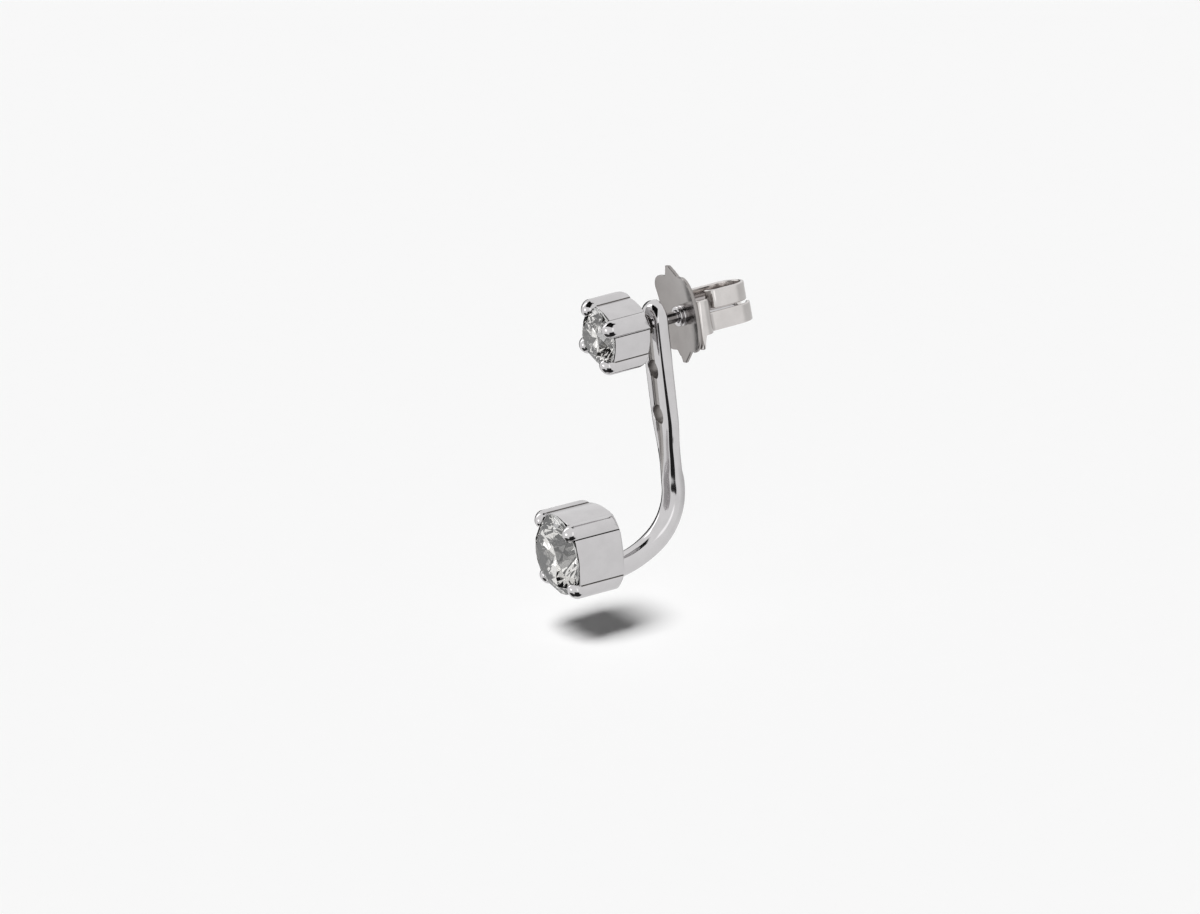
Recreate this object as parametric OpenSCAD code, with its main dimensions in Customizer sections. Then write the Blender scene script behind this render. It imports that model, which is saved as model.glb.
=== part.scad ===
// Diamond drop earring: a four-claw diamond stud whose post carries a second, larger diamond
// on a bar that passes behind the ear lobe, and a sheet-metal butterfly clutch on the post.
// Millimetres. +Z is up, the stones face -Y, and the post runs along +Y.
// The origin is on the post's axis, at the front face of the bar.

/* [Stones] */
// Diameter of the stud's round brilliant, 0.17 ct
stud_stone_d = 3.6; // [3.4:0.05:3.7]
// Diameter of the drop's round brilliant, 0.46 ct
drop_stone_d = 5.0; // [4.8:0.05:5.1]
// Width of the table, as a share of the diameter
table_share = 0.57; // [0.53:0.01:0.62]
// Crown angle in degrees
crown_angle = 34.5; // [32:0.5:36]
// Pavilion angle in degrees
pavilion_angle = 40.75; // [39:0.25:41.5]
// Thickness of the girdle
girdle_t = 0.14; // [0.08:0.01:0.16]

/* [Settings] */
// Distance between neighbouring claws of the stud
stud_claws = 2.64; // [2.62:0.02:2.7]
// Distance between neighbouring claws of the drop
drop_claws = 3.64; // [3.62:0.02:3.7]
// Length of the stud's collet, from its back to the rim
stud_depth = 2.35; // [2.3:0.05:2.6]
// Length of the drop's collet, from its back to the rim
drop_depth = 3.0; // [2.9:0.05:3.2]
// Height of the girdle above the rim
girdle_rise = 0.22; // [0.18:0.01:0.24]
// Gap between a stone and its metal
stone_gap = 0.03; // [0.02:0.01:0.05]
// Diameter of the pillars that the claws grow from
pillar_d = 1.08; // [1:0.02:1.12]
// Diameter of the bead at each claw's tip
bead_d = 0.72; // [0.66:0.02:0.78]
// Height of the beads above the girdle
claw_rise = 0.27; // [0.22:0.01:0.32]
// Turn of the stud about its post, in degrees
stud_roll = 18.5; // [0:0.5:25]
// Space between the stud's collet and the bar
stud_space = 0.8; // [0.6:0.1:1.2]

/* [Ear post] */
// Diameter of the post
post_d = 0.7; // [0.6:0.05:0.8]
// How far the post's tip lies behind the bar's front face
post_reach = 6.2; // [5.8:0.1:6.4]

/* [Jacket] */
// Width of the bar at its holes
bar_w = 2.15; // [2:0.05:2.3]
// Width of the bar at its lower end
neck_w = 1.75; // [1.6:0.05:1.9]
// Thickness of the bar
bar_t = 0.85; // [0.8:0.05:0.95]
// Height of the bar's top above the upper hole
bar_top = 1.35; // [1.3:0.05:1.5]
// Length of the bar's straight sides below the upper hole
bar_straight = 6.4; // [6.2:0.1:6.8]
// Length of the flat bar below the upper hole
bar_drop = 7.6; // [7.4:0.1:7.8]
// Diameter of the holes for the post
hole_d = 1.2; // [1.1:0.05:1.25]
// Distance between neighbouring holes
hole_pitch = 2.9; // [2.8:0.05:2.9]
// Width of the groove that joins the holes
groove_w = 0.7; // [0.5:0.05:0.8]
// Depth of the groove
groove_t = 0.12; // [0.08:0.01:0.15]
// Thickness of the rod that curves forward
rod_d = 1.56; // [1.5:0.02:1.6]
// Radius of the rod's tight bend
bend_r = 3.9; // [3.8:0.05:4]
// Radius of the rod's wide bend under the drop
sweep_r = 6.0; // [5.9:0.1:6.2]
// Height of the drop's centre, below the upper hole
drop_z = 12.9; // [12.8:0.05:13]
// Distance from the bar's front face to the back of the drop's collet
drop_y = 4.6; // [4.5:0.05:4.7]
// Upward tilt of the drop's face, in degrees
drop_tilt = 1.5; // [0:0.5:3]

/* [Clutch] */
// Thickness of the sheet metal
sheet_t = 0.24; // [0.2:0.01:0.26]
// Distance from the bar's front face to the middle of the dished clutch plate
clutch_y = 2.42; // [2.4:0.02:2.5]
// Half width of the plate
plate_half_w = 2.2; // [2.15:0.05:2.3]
// Half height of the plate's body, without its tips
plate_half_h = 2.35; // [2.25:0.05:2.4]
// Half height of the plate over its tips
tip_half_h = 3.05; // [3:0.05:3.2]
// How far the middle of the plate lies above the post
plate_rise = 0.15; // [0:0.05:0.2]
// Radius of the plate's dish, which is hollow towards the front
dish_r = 10; // [9:0.5:14]
// Length of the collar in front of the plate
collar_l = 0.42; // [0.3:0.02:0.5]
// Height of each wing's strip
wing_h = 1.15; // [1.05:0.05:1.25]
// Distance from the plate to the start of the wings' round backs
wing_l = 3.3; // [3.2:0.05:3.4]
// Turn of the clutch about the post, in degrees
clutch_roll = -8; // [-20:1:20]

/* [Hidden] */
$fn = 64;
hull_fn = 32;
bead_fn = 32;
overlap = 0.05;

// The parts of a setting that keep the same proportion to its stone: the round tube's radius, the
// distance of its flattened walls and their bulge, the thickness of its base and the well in it
tube_share = 0.54;
wall_share = 0.485;
wall_curve_share = 1.2;
base_share = 0.15;
well_share = 0.42;
pillar_r = pillar_d / 2;
bead_r = bead_d / 2;
back_round_r = 0.7;

rod_r = rod_d / 2;
// The rod's middle lies a little behind the bar's, and its bend starts below the neck
rod_y = 0.57;
neck_swell = 0.02;
rod_taper = 0.02;
bend_z = -10.46;
bend_end = 33;
bend_lap = 1;
sweep_end = -3;

post_r = post_d / 2;
collar_r = 0.66;
collar_bore_r = post_r + 0.04;
plate_corner_r = 0.9;
tip_r = 0.34;
tip_base = 0.95;

// A wing: flange off the plate's edge, two waist arcs, a straight side, the round back, and the
// inner lip that bends in to the post
wing_root_y = 0.04;
flange_r = 0.35;
flange_x = 2.05;
waist_r = 0.6;
side_x = 1.25;
return_x = -0.9;
return_l = 1.15;
lip_gap = 0.06;
lip_r = -return_x - post_r - lip_gap;
wing_gap = 0.1;
notch_r = post_r + 0.12;
arc_steps = 10;
dish_fn = 180;

function ring(r, z, count, first) =
    [for (i = [0:count - 1]) [r * cos(first + i * 360 / count), r * sin(first + i * 360 / count), z]];

// Radii and heights of a round brilliant of girdle radius r, from the middle of its girdle
function table_r(r) = r * table_share;
function table_h(r) = girdle_t / 2 + (r - table_r(r)) * tan(crown_angle);
function star_r(r) = (table_r(r) * cos(22.5) + r) / 2;
function star_h(r) = table_h(r) - (star_r(r) * cos(22.5) - table_r(r)) * tan(crown_angle);
function culet_h(r) = -girdle_t / 2 - r * tan(pavilion_angle);
function lower_r(r) = 0.23 * r;
function lower_h(r) = culet_h(r) + lower_r(r) * cos(22.5) * tan(pavilion_angle);

// Round brilliant with its table towards +Z: table, star, kite, upper girdle, girdle, lower girdle and main facets
module brilliant(r) {
    points = concat(
        ring(table_r(r), table_h(r), 8, 0),
        ring(star_r(r), star_h(r), 8, 22.5),
        ring(r, girdle_t / 2, 16, 0),
        ring(r, -girdle_t / 2, 16, 0),
        ring(lower_r(r), lower_h(r), 8, 22.5),
        [[0, 0, culet_h(r)]]
    );
    star = 8;
    upper = 16;
    under = 32;
    lower = 48;
    culet = 56;
    faces = concat(
        [[for (k = [7:-1:0]) k]],
        [for (k = [0:7]) [k, (k + 1) % 8, star + k]],
        [for (k = [0:7]) [k, star + k, upper + 2 * k, star + (k + 7) % 8]],
        [for (k = [0:7]) [star + k, upper + 2 * k + 1, upper + 2 * k]],
        [for (k = [0:7]) [star + k, upper + (2 * k + 2) % 16, upper + 2 * k + 1]],
        [for (j = [0:15]) [upper + j, upper + (j + 1) % 16, under + (j + 1) % 16, under + j]],
        [for (k = [0:7]) [lower + k, under + 2 * k, under + 2 * k + 1]],
        [for (k = [0:7]) [lower + k, under + 2 * k + 1, under + (2 * k + 2) % 16]],
        [for (k = [0:7]) [culet, lower + (k + 7) % 8, under + 2 * k, lower + k]]
    );
    polyhedron(points, faces);
}

// The room that a stone takes in its setting, open towards the front
module stone_room(r) {
    rotate_extrude()
        polygon([
            [0, culet_h(r) - stone_gap],
            [lower_r(r) + stone_gap, lower_h(r) - stone_gap],
            [r + stone_gap, -girdle_t / 2 - stone_gap],
            [r + stone_gap, girdle_t / 2 + stone_gap],
            [star_r(r) + stone_gap, star_h(r) + stone_gap],
            [table_r(r) + stone_gap, table_h(r) + stone_gap],
            [table_r(r) + stone_gap, 2 * table_h(r)],
            [0, 2 * table_h(r)]
        ]);
}

module at_corners(spacing) {
    for (x = [-1, 1])
        for (y = [-1, 1])
            translate([x * spacing / 2, y * spacing / 2, 0])
                children();
}

// Outline of the collet's tube: round, with four walls that bulge less than the circle
module tube_outline(stone_d) {
    wall_r = wall_curve_share * stone_d;
    intersection() {
        circle(r = tube_share * stone_d);
        intersection_for (a = [0:90:270])
            rotate(a)
                translate([wall_share * stone_d - wall_r, 0])
                    circle(r = wall_r);
    }
}

// The space that the collet's back leaves to its tube and pillars: it rounds the pillars' ends
module back_rounding(claws, height) {
    corner_r = claws / sqrt(2) + pillar_r + overlap;
    rotate_extrude() {
        square([corner_r - back_round_r, height]);
        translate([0, back_round_r])
            square([corner_r, height]);
        translate([corner_r - back_round_r, back_round_r])
            circle(r = back_round_r);
    }
}

// The collet's tube and its pillars, which stand above the rim as claws
module collet_block(stone_d, claws, depth) {
    intersection() {
        union() {
            linear_extrude(depth)
                tube_outline(stone_d);
            at_corners(claws)
                cylinder(r = pillar_r, h = depth + girdle_rise);
        }
        back_rounding(claws, depth);
    }
}

// The end of a claw, from the girdle on: it narrows to a bead
module claw_end() {
    cylinder(r1 = pillar_r, r2 = bead_r - overlap / 2, h = claw_rise);
    translate([0, 0, claw_rise])
        sphere(r = bead_r, $fn = bead_fn);
}

// Four-claw collet, its back at the origin and its stone towards +Z
module collet(stone_d, claws, depth) {
    difference() {
        union() {
            collet_block(stone_d, claws, depth);
            at_corners(claws)
                translate([0, 0, depth + girdle_rise])
                    claw_end();
        }
        translate([0, 0, base_share * stone_d])
            cylinder(r = well_share * stone_d, h = 2 * depth);
        translate([0, 0, depth + girdle_rise])
            stone_room(stone_d / 2);
    }
}

module facing_front() {
    rotate([90, 0, 0])
        children();
}

module in_stud_place() {
    translate([0, -stud_space, 0])
        rotate([0, stud_roll, 0])
            facing_front()
                children();
}

module in_drop_place() {
    translate([0, -drop_y, -drop_z])
        rotate([-drop_tilt, 0, 0])
            facing_front()
                children();
}

module stud_setting() {
    color("silver") {
        in_stud_place()
            collet(stud_stone_d, stud_claws, stud_depth);
        translate([0, -stud_space - overlap, 0])
            rotate([-90, 0, 0])
                cylinder(r = post_r, h = post_reach + stud_space + overlap - post_r);
        translate([0, post_reach - post_r, 0])
            sphere(r = post_r, $fn = bead_fn);
    }
}

module stud_diamond() {
    color("aliceblue")
        in_stud_place()
            translate([0, 0, stud_depth + girdle_rise])
                brilliant(stud_stone_d / 2);
}

// The flat bar seen from the front: a round top, straight sides, then a draw-in towards the neck
module bar_outline() {
    shoulder = bar_top - bar_w / 2;
    translate([0, shoulder])
        circle(d = bar_w);
    polygon([
        [-bar_w / 2, shoulder],
        [bar_w / 2, shoulder],
        [bar_w / 2, -bar_straight],
        [neck_w / 2, -bar_drop],
        [-neck_w / 2, -bar_drop],
        [-bar_w / 2, -bar_straight]
    ]);
}

// The groove on the bar's front, from the upper hole to a point in the neck
module groove_outline() {
    straight = -2 * hole_pitch - hole_d;
    point = bend_z + rod_d / 2;
    polygon([
        [-groove_w / 2, 0],
        [groove_w / 2, 0],
        [groove_w / 2, straight],
        [0, point],
        [-groove_w / 2, straight]
    ]);
}

// Where the flat bar swells into the round rod
module neck() {
    hull() {
        translate([-neck_w / 2, 0, -bar_drop])
            cube([neck_w, bar_t, overlap]);
        translate([0, rod_y, bend_z - overlap])
            cylinder(r = rod_r + neck_swell, h = overlap, $fn = hull_fn);
    }
}

// A bend of the rod in the Y-Z plane, between two angles counted from straight down towards +Y
module rod_bend(centre, r, from, to, section_r) {
    translate([0, centre[0], centre[1]])
        rotate([0, 90, 0])
            rotate([0, 0, from])
                rotate_extrude(angle = to - from)
                    translate([r, 0])
                        circle(r = section_r);
}

module rod() {
    bend_centre = [rod_y - bend_r, bend_z];
    sweep_centre = bend_centre + (bend_r - sweep_r) * [sin(bend_end), -cos(bend_end)];
    rod_bend(bend_centre, bend_r, bend_end, 90, rod_r);
    rod_bend(sweep_centre, sweep_r, sweep_end, bend_end + bend_lap, rod_r - rod_taper);
}

module jacket() {
    color("lightgray") {
        difference() {
            union() {
                translate([0, bar_t, 0])
                    facing_front()
                        linear_extrude(bar_t)
                            bar_outline();
                neck();
            }
            translate([0, groove_t, 0])
                facing_front()
                    linear_extrude(2 * groove_t)
                        groove_outline();
            for (i = [0:2])
                translate([0, -bar_t, -i * hole_pitch])
                    rotate([-90, 0, 0])
                        cylinder(d = hole_d, h = 3 * bar_t);
        }
        rod();
        in_drop_place()
            collet(drop_stone_d, drop_claws, drop_depth);
    }
}

module drop_diamond() {
    color("aliceblue")
        in_drop_place()
            translate([0, 0, drop_depth + girdle_rise])
                brilliant(drop_stone_d / 2);
}

// The clutch plate seen from the front: a round-cornered body with a pointed tip above and below
module plate_outline() {
    inner_w = plate_half_w - plate_corner_r;
    inner_h = plate_half_h - plate_corner_r;
    square([2 * plate_half_w, 2 * inner_h], center = true);
    square([2 * inner_w, 2 * plate_half_h], center = true);
    at_corners_of(inner_w, inner_h)
        circle(r = plate_corner_r);
    for (side = [-1, 1])
        scale([1, side]) {
            polygon([
                [-tip_base, plate_half_h - overlap],
                [tip_base, plate_half_h - overlap],
                [tip_r, tip_half_h - tip_r],
                [-tip_r, tip_half_h - tip_r]
            ]);
            translate([0, tip_half_h - tip_r])
                circle(r = tip_r);
        }
}

module at_corners_of(half_w, half_h) {
    for (x = [-1, 1])
        for (y = [-1, 1])
            translate([x * half_w, y * half_h])
                children();
}

// One edge of a strip that follows arcs, rows of [centre x, centre y, radius, first angle, last angle].
// side is how far the edge lies to the left of the strip's middle.
function strip_edge(arcs, side) = [
    for (arc = arcs)
        let (r = arc[2] - sign(arc[4] - arc[3]) * side)
            for (i = [0:arc_steps])
                let (a = arc[3] + (arc[4] - arc[3]) * i / arc_steps)
                    [arc[0] + r * cos(a), arc[1] + r * sin(a)]
];

// A wing seen from above: it leaves the plate's edge, runs back, turns round and comes forward to the post
module wing_outline() {
    waist_a = acos(1 - (flange_x - side_x) / (2 * waist_r));
    waist_x = flange_x - waist_r;
    back_r = (side_x - return_x) / 2;
    waist_y = wing_root_y + flange_r;
    arcs = [
        [flange_x - flange_r, waist_y, flange_r, -90, 0],
        [waist_x, waist_y, waist_r, 0, waist_a],
        [
            waist_x + 2 * waist_r * cos(waist_a),
            waist_y + 2 * waist_r * sin(waist_a),
            waist_r, 180 + waist_a, 180
        ],
        [(side_x + return_x) / 2, wing_l, back_r, 0, 180],
        [return_x + lip_r, wing_l - return_l, lip_r, 180, 270]
    ];
    left = strip_edge(arcs, sheet_t / 2);
    right = strip_edge(arcs, -sheet_t / 2);
    polygon(concat(left, [for (i = [len(right) - 1:-1:0]) right[i]]));
}

// The plate with its dish, the middle of its front face at the origin
module plate() {
    intersection() {
        translate([0, sheet_t, 0])
            facing_front()
                linear_extrude(1)
                    translate([0, plate_rise])
                        plate_outline();
        translate([0, -dish_r, 0])
            difference() {
                sphere(r = dish_r + sheet_t, $fn = dish_fn);
                sphere(r = dish_r, $fn = dish_fn);
            }
    }
}

module collar() {
    translate([0, sheet_t / 2, 0])
        facing_front()
            cylinder(r = collar_r, h = sheet_t / 2 + collar_l);
}

// One wing starts at the plate's right edge and lies below the post, the other is its half turn
module wings() {
    for (turn = [0, 180])
        rotate([0, turn, 0])
            translate([0, 0, -wing_gap / 2 - wing_h])
                linear_extrude(wing_h)
                    wing_outline();
}

module clutch() {
    color("gainsboro")
        translate([0, clutch_y, 0])
            rotate([0, clutch_roll, 0])
                difference() {
                    union() {
                        plate();
                        collar();
                        wings();
                    }
                    translate([0, -2 * collar_l, 0])
                        rotate([-90, 0, 0])
                            cylinder(r = collar_bore_r, h = 4 * collar_l);
                    translate([0, wing_l, 0])
                        rotate([-90, 0, 0])
                            cylinder(r = notch_r, h = wing_l);
                }
}

stud_setting();
stud_diamond();
jacket();
drop_diamond();
clutch();
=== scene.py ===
"""Looks of a diamond drop earring: polished white gold and two round brilliants over a pale floor.

Lengths are the earring's own millimetres, and MM turns them into the scene's metres. +Z is up, the stones
face -Y, the ear post runs along +Y, and the origin is on the post's axis, at the front face of the jacket's
bar.
"""

from math import acos, atan2, cos, hypot, pi, radians, sin, sqrt, tan

import bmesh
import bpy
from mathutils import Matrix, Vector


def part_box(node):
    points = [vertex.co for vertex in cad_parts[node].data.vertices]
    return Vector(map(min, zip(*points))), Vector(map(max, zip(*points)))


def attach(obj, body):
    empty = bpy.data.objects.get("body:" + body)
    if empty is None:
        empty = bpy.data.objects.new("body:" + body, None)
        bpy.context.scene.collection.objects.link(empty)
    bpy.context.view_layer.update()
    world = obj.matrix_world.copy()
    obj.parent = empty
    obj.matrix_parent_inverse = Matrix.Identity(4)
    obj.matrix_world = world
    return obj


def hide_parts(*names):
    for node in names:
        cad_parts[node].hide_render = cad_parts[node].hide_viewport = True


MM = 0.001
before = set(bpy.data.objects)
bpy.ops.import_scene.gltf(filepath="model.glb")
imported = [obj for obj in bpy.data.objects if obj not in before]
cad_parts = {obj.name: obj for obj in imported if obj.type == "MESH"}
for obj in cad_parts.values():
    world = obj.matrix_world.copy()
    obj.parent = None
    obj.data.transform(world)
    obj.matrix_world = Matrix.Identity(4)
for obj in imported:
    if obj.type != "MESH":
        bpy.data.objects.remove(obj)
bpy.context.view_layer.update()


# Dimensions

def node_size(node):
    """A CAD node's width, length and height in millimetres."""
    low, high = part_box(node)
    return [(b - a) / MM for a, b in zip(low, high)]


STUD_STONE_D = node_size("stud_diamond")[0]
DROP_STONE_D = node_size("drop_diamond")[0]
TABLE_SHARE = 0.57
CROWN_ANGLE = radians(34.5)
PAVILION_ANGLE = radians(40.75)
GIRDLE_T = 0.14
LOWER_SHARE = 0.23
GIRDLE_SIDES = 144
ROUGH_SPARE = 0.1

STUD_CLAWS = 2.64
DROP_CLAWS = 3.64
STUD_DEPTH = 2.35
DROP_DEPTH = 3.0
GIRDLE_RISE = 0.22
RIM_RAISE = 0.11
PILLAR_R = 0.54
STUD_CLAW_TIP = 0.56
DROP_CLAW_TIP = 0.46
CLAW_LEAN = 0.1
SEAT_GAP = 0.012
BACK_ROUND_R = 0.7
CREASE_W = 0.09
CREASE_DEPTH = 0.06
TUBE_SHARE = 0.54
WALL_SHARE = 0.485
WALL_CURVE_SHARE = 1.2
BASE_SHARE = 0.15
WELL_SHARE = 0.42
WELL_CORNER = 0.1
BACK_EDGE = 0.09
RIM_EDGE = 0.03
STUD_ROLL = radians(18.5)
STUD_SPACE = 0.8
DROP_Y = 4.6
DROP_Z = 12.9
DROP_TILT = radians(1.5)

POST_R = 0.35
POST_REACH = 6.2

BAR_W = 2.22
NECK_W = 1.78
BAR_T = 0.87
BAR_TOP = 1.38
BAR_STRAIGHT = 6.4
BAR_DROP = 7.6
CROWN_EDGE_R = 0.5
TOP_EDGE_R = 0.26
NECK_EDGE_R = 0.46
BACK_EDGE_R = 0.13
NECK_EASE = 0.5
EDGE_START = 1.0
HOLE_D = 1.2
HOLE_PITCH = 2.9
HOLE_RIM_R = 0.07
GROOVE_W = 0.7
GROOVE_END_W = 0.02
GROOVE_T = 0.12
GROOVE_LIP_R = 0.035
ROD_R = 0.78
ROD_END_R = 0.76
ROD_Y = 0.57
ROUNDING_Z = -7.0
BEND_Z = -10.46
BEND_R = 3.9
BEND_END = radians(33)
NECK_PINCH = 0.055
PINCH_L = 1.4
SWEEP_R = 6.0
SWEEP_END = radians(-3)

CLUTCH_Y = 2.42
CLUTCH_ROLL = radians(-8)
SHEET_T = 0.24
SHEET_EDGE_R = 0.07
DISH_R = 10.0
PLATE_HALF_W = 2.2
PLATE_HALF_H = 2.35
PLATE_CORNER_R = 0.9
PLATE_RISE = 0.15
TIP_HALF_H = 3.05
TIP_R = 0.34
TIP_BASE = 0.95
TIP_FILLET = 0.12
TRIM_START = (-2.12, -1.3)
TRIM_END = (-0.25, -2.95)
COLLAR_R = 0.64
COLLAR_WAIST_R = 0.5
COLLAR_BORE_R = 0.39
COLLAR_L = 0.42
COLLAR_FOOT_R = 0.7
WING_H = 1.15
WING_L = 3.3
WING_GAP = 0.1
WING_ROOT_Y = 0.04
FLANGE_R = 0.35
FLANGE_X = 2.05
WAIST_R = 0.52
SIDE_X = 1.25
RETURN_X = -0.9
RETURN_L = 1.15
LIP_R = 0.49
ROOT_RISE = 1.0
ROOT_DROP = 0.85
ROOT_RISE_END = 1.2
ROOT_DROP_END = 0.52
ROOT_CORNER = 0.26
NOTCH_R = 0.47


# Materials

DIAMOND_IOR = 2.417
FIBRE_TONE = 0.994


def linear(colour):
    """An sRGB hex colour as linear red, green, blue and alpha."""
    parts = [int(colour[i:i + 2], 16) / 255 for i in (1, 3, 5)]
    return [p / 12.92 if p <= 0.04045 else ((p + 0.055) / 1.055) ** 2.4 for p in parts] + [1.0]


def add_node(tree, kind, settings=None, links=None, **properties):
    """Adds a node, with its properties, its sockets' values and its links from other sockets."""
    node = tree.nodes.new(kind)
    for name, value in properties.items():
        setattr(node, name, value)
    for socket, value in (settings or {}).items():
        node.inputs[socket].default_value = value
    for socket, source in (links or {}).items():
        tree.links.new(source, node.inputs[socket])
    return node


def new_material(name):
    """An empty node material, its tree and its output node."""
    material = bpy.data.materials.new(name)
    material.use_nodes = True
    tree = material.node_tree
    tree.nodes.clear()
    return material, tree, tree.nodes.new("ShaderNodeOutputMaterial")


def per_metre(size_mm):
    """The texture scale whose features are size_mm across, for coordinates in metres."""
    return 1 / (size_mm * MM)


def polished_white_gold(name, colour, dark_colour, roughness):
    """18 ct white gold with a rhodium plate, polished on a soft mop: a pale mirror whose tone and sheen
    vary a little from one millimetre to the next, with faint hairlines left by the mop."""
    material, tree, output = new_material(name)
    place = add_node(tree, "ShaderNodeTexCoord").outputs["Object"]
    cloud = add_node(tree, "ShaderNodeTexNoise", {"Scale": per_metre(0.9), "Detail": 3.0}, {"Vector": place})
    share = add_node(tree, "ShaderNodeMapRange", {"From Min": 0.3, "From Max": 0.6},
                     {"Value": cloud.outputs["Fac"]})
    tint = add_node(tree, "ShaderNodeMix", {6: linear(dark_colour), 7: linear(colour)},
                    {"Factor": share.outputs["Result"]}, data_type="RGBA")
    sheen = add_node(tree, "ShaderNodeMapRange",
                     {"From Min": 0.25, "From Max": 0.75,
                      "To Min": roughness * 0.7, "To Max": roughness * 1.5},
                     {"Value": cloud.outputs["Fac"]})
    stretched = add_node(tree, "ShaderNodeMapping", {"Scale": (1.0, 0.08, 1.0), "Rotation": (0.5, 0.3, 0.4)},
                         {"Vector": place})
    # The mop's real hairlines are 0.01 mm wide, drawn at 0.09 mm so that they show at all
    hairline = add_node(tree, "ShaderNodeTexNoise", {"Scale": per_metre(0.09), "Detail": 2.0},
                        {"Vector": stretched.outputs["Vector"]})
    bump = add_node(tree, "ShaderNodeBump", {"Strength": 0.04, "Distance": 0.004 * MM},
                    {"Height": hairline.outputs["Fac"]})
    shader = add_node(tree, "ShaderNodeBsdfPrincipled", {"Metallic": 1.0},
                      {"Base Color": tint.outputs[2], "Roughness": sheen.outputs["Result"],
                       "Normal": bump.outputs["Normal"]})
    tree.links.new(shader.outputs["BSDF"], output.inputs["Surface"])
    return material


def shaded_cast_white_gold(name, dark_colour, colour, roughness):
    """White gold that the mop can't reach: the dull skin that casting or a drill leaves, in a warm dark grey
    that is painted shade for the hollows it lines.
    """
    material, tree, output = new_material(name)
    place = add_node(tree, "ShaderNodeTexCoord").outputs["Object"]
    grain = add_node(tree, "ShaderNodeTexNoise", {"Scale": per_metre(0.08), "Detail": 3.0}, {"Vector": place})
    tint = add_node(tree, "ShaderNodeMix", {6: linear(dark_colour), 7: linear(colour)},
                    {"Factor": grain.outputs["Fac"]}, data_type="RGBA")
    shader = add_node(tree, "ShaderNodeBsdfPrincipled", {"Metallic": 1.0, "Roughness": roughness},
                      {"Base Color": tint.outputs[2]})
    tree.links.new(shader.outputs["BSDF"], output.inputs["Surface"])
    return material


def milled_shaded_white_gold():
    """White gold along the floor of a cut groove, where the mop only skims: a satin sheen from the cutter's
    fine lines, and a greyer tone that is painted shade in the groove."""
    material, tree, output = new_material("white_gold_milled_groove_painted_shade")
    place = add_node(tree, "ShaderNodeTexCoord").outputs["Object"]
    stretched = add_node(tree, "ShaderNodeMapping", {"Scale": (1.0, 1.0, 0.06)}, {"Vector": place})
    # The cutter's real lines are 0.02 mm apart, drawn at 0.06 mm so that they show at all
    cutter = add_node(tree, "ShaderNodeTexNoise", {"Scale": per_metre(0.06), "Detail": 2.0},
                      {"Vector": stretched.outputs["Vector"]})
    # The greyer tone is painted shade on the groove's floor
    tint = add_node(tree, "ShaderNodeMix", {6: linear("#9A9693"), 7: linear("#B4B0AE")},
                    {"Factor": cutter.outputs["Fac"]}, data_type="RGBA")
    satin = add_node(tree, "ShaderNodeMapRange",
                     {"From Min": 0.3, "From Max": 0.7, "To Min": 0.24, "To Max": 0.36},
                     {"Value": cutter.outputs["Fac"]})
    shader = add_node(tree, "ShaderNodeBsdfPrincipled", {"Metallic": 1.0},
                      {"Base Color": tint.outputs[2], "Roughness": satin.outputs["Result"]})
    tree.links.new(shader.outputs["BSDF"], output.inputs["Surface"])
    return material


def cut_diamond():
    """Colourless diamond, each facet lapped to a perfect polish: clear and strongly refracting, with the
    faintest warm film where skin oil lies."""
    material, tree, output = new_material("diamond_polished")
    place = add_node(tree, "ShaderNodeTexCoord").outputs["Object"]
    film = add_node(tree, "ShaderNodeTexNoise", {"Scale": per_metre(0.7), "Detail": 2.0}, {"Vector": place})
    tint = add_node(tree, "ShaderNodeMix", {6: linear("#F2EFEA"), 7: linear("#FFFEFB")},
                    {"Factor": film.outputs["Fac"]}, data_type="RGBA")
    shader = add_node(tree, "ShaderNodeBsdfPrincipled",
                      {"Roughness": 0.0, "IOR": DIAMOND_IOR, "Transmission Weight": 1.0},
                      {"Base Color": tint.outputs[2]})
    tree.links.new(shader.outputs["BSDF"], output.inputs["Surface"])
    return material


def bruted_diamond():
    """A brilliant's girdle as it leaves the bruting wheel: finely frosted, so it shows as a pale line."""
    material, tree, output = new_material("diamond_bruted_girdle")
    place = add_node(tree, "ShaderNodeTexCoord").outputs["Object"]
    frost = add_node(tree, "ShaderNodeTexNoise", {"Scale": per_metre(0.06), "Detail": 4.0}, {"Vector": place})
    bump = add_node(tree, "ShaderNodeBump", {"Strength": 0.3, "Distance": 0.01 * MM},
                    {"Height": frost.outputs["Fac"]})
    haze = add_node(tree, "ShaderNodeMapRange",
                    {"From Min": 0.3, "From Max": 0.7, "To Min": 0.3, "To Max": 0.45},
                    {"Value": frost.outputs["Fac"]})
    shader = add_node(tree, "ShaderNodeBsdfPrincipled",
                      {"Base Color": linear("#F3F3F1"), "IOR": DIAMOND_IOR, "Transmission Weight": 0.55},
                      {"Roughness": haze.outputs["Result"], "Normal": bump.outputs["Normal"]})
    tree.links.new(shader.outputs["BSDF"], output.inputs["Surface"])
    return material


def matt_card(name, colour):
    """Smooth uncoated card, as of a table top or a flag: matt, with a trace of the fibres' tone."""
    material, tree, output = new_material(name)
    place = add_node(tree, "ShaderNodeTexCoord").outputs["Object"]
    fibre = add_node(tree, "ShaderNodeTexNoise", {"Scale": per_metre(2.0), "Detail": 3.0}, {"Vector": place})
    shade = [c * FIBRE_TONE for c in linear(colour)[:3]] + [1.0]
    tone = add_node(tree, "ShaderNodeMix", {6: shade, 7: linear(colour)},
                    {"Factor": fibre.outputs["Fac"]}, data_type="RGBA")
    shader = add_node(tree, "ShaderNodeBsdfPrincipled", {"Roughness": 1.0, "Specular IOR Level": 0.0},
                      {"Base Color": tone.outputs[2]})
    tree.links.new(shader.outputs["BSDF"], output.inputs["Surface"])
    return material


# Painted shade: the crease gold darkens the thin creases where each pillar meets the tube
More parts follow.
